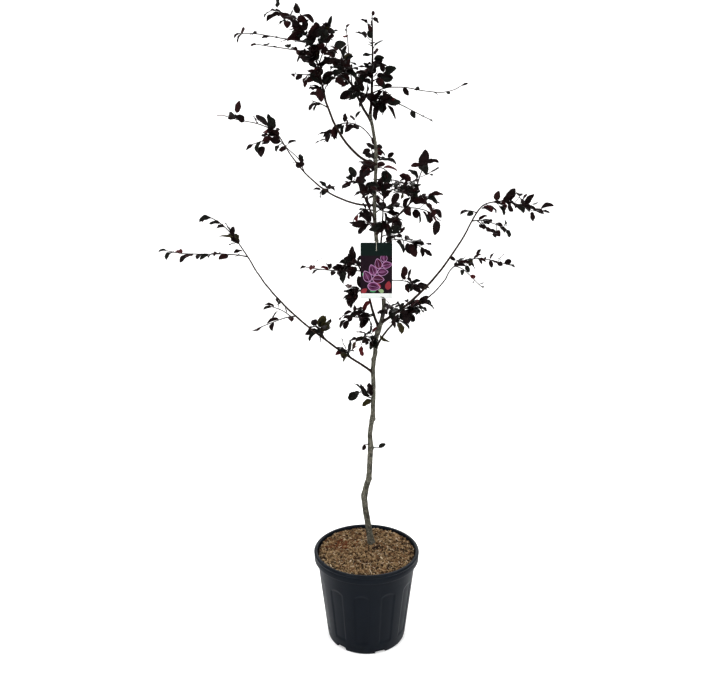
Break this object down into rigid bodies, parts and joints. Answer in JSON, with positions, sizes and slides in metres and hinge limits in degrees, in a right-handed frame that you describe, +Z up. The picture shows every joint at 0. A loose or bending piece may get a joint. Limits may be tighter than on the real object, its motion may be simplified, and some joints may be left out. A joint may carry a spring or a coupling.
{
  "type": "potted young copper beech tree",
  "caption": "Young copper beech in a round nursery pot: slim grey trunk, spreading boughs and dark purple leaves, with a plain hang tag tied to the trunk.",
  "frame": {"origin": "centre of the pot's flat underside, on the surface that it stands on", "axes": "+Z up the tree, -Y towards the side that the tag faces, +X to the right seen from there"},
  "size_m": [1.4029, 0.7189, 2.3857],
  "materials": {
    "pot_plastic": "moulded, slightly shiny",
    "potting_mix": "coarse bark chips",
    "grey_bark": "smooth grey bark with pale specks",
    "bough_bark": "smooth brown-grey young bark",
    "copper_foliage": "dark purple leaves, slightly glossy",
    "tag_card": "printed card with a satin face",
    "tag_tie": "thin pale cord"
  },
  "bodies": {
    "root": {"back_bough": "bough_bark", "fork_left_bough": "bough_bark", "front_bough": "bough_bark", "hang_tag": "tag_card", "leader": "bough_bark", "leaves_above_tag": "copper_foliage", "leaves_arching_twig": "copper_foliage", "leaves_back": "copper_foliage", "leaves_back_high": "copper_foliage", "leaves_back_inner": "copper_foliage", "leaves_fork_left": "copper_foliage", "leaves_fork_left_side": "copper_foliage", "leaves_front": "copper_foliage", "leaves_front_left_low": "copper_foliage", "leaves_front_right_low": "copper_foliage", "leaves_knot": "copper_foliage", "leaves_knot_left": "copper_foliage", "leaves_leader": "copper_foliage", "leaves_leader_left": "copper_foliage", "leaves_leader_right": "copper_foliage", "leaves_leader_right_low": "copper_foliage", "leaves_left_low": "copper_foliage", "leaves_left_small": "copper_foliage", "leaves_low_left_foot": "copper_foliage", "leaves_low_left_inner": "copper_foliage", "leaves_low_left_side": "copper_foliage", "leaves_low_left_tip": "copper_foliage", "leaves_lowest": "copper_foliage", "leaves_mid_left_inner": "copper_foliage", "leaves_mid_left_side": "copper_foliage", "leaves_mid_left_tip": "copper_foliage", "leaves_mid_right": "copper_foliage", "leaves_mid_right_high": "copper_foliage", "leaves_mid_right_inner": "copper_foliage", "leaves_mid_right_low": "copper_foliage", "leaves_right_low_inner": "copper_foliage", "leaves_right_low_side": "copper_foliage", "leaves_right_low_tip": "copper_foliage", "leaves_right_mid": "copper_foliage", "leaves_right_second": "copper_foliage", "leaves_right_second_foot": "copper_foliage", "leaves_right_second_inner": "copper_foliage", "leaves_second_leader": "copper_foliage", "leaves_trunk_high_left": "copper_foliage", "leaves_trunk_high_right": "copper_foliage", "leaves_trunk_left": "copper_foliage", "leaves_trunk_right": "copper_foliage", "leaves_upper_left": "copper_foliage", "leaves_upper_left_foot": "copper_foliage", "low_left_bough": "bough_bark", "mid_left_bough": "bough_bark", "mid_right_bough": "bough_bark", "pot": "pot_plastic", "potting_mix": "potting_mix", "right_low_bough": "bough_bark", "right_second_bough": "bough_bark", "second_leader": "bough_bark", "tag_tie": "tag_tie", "trunk": "grey_bark", "upper_left_bough": "bough_bark"}
  },
  "joints": []
}
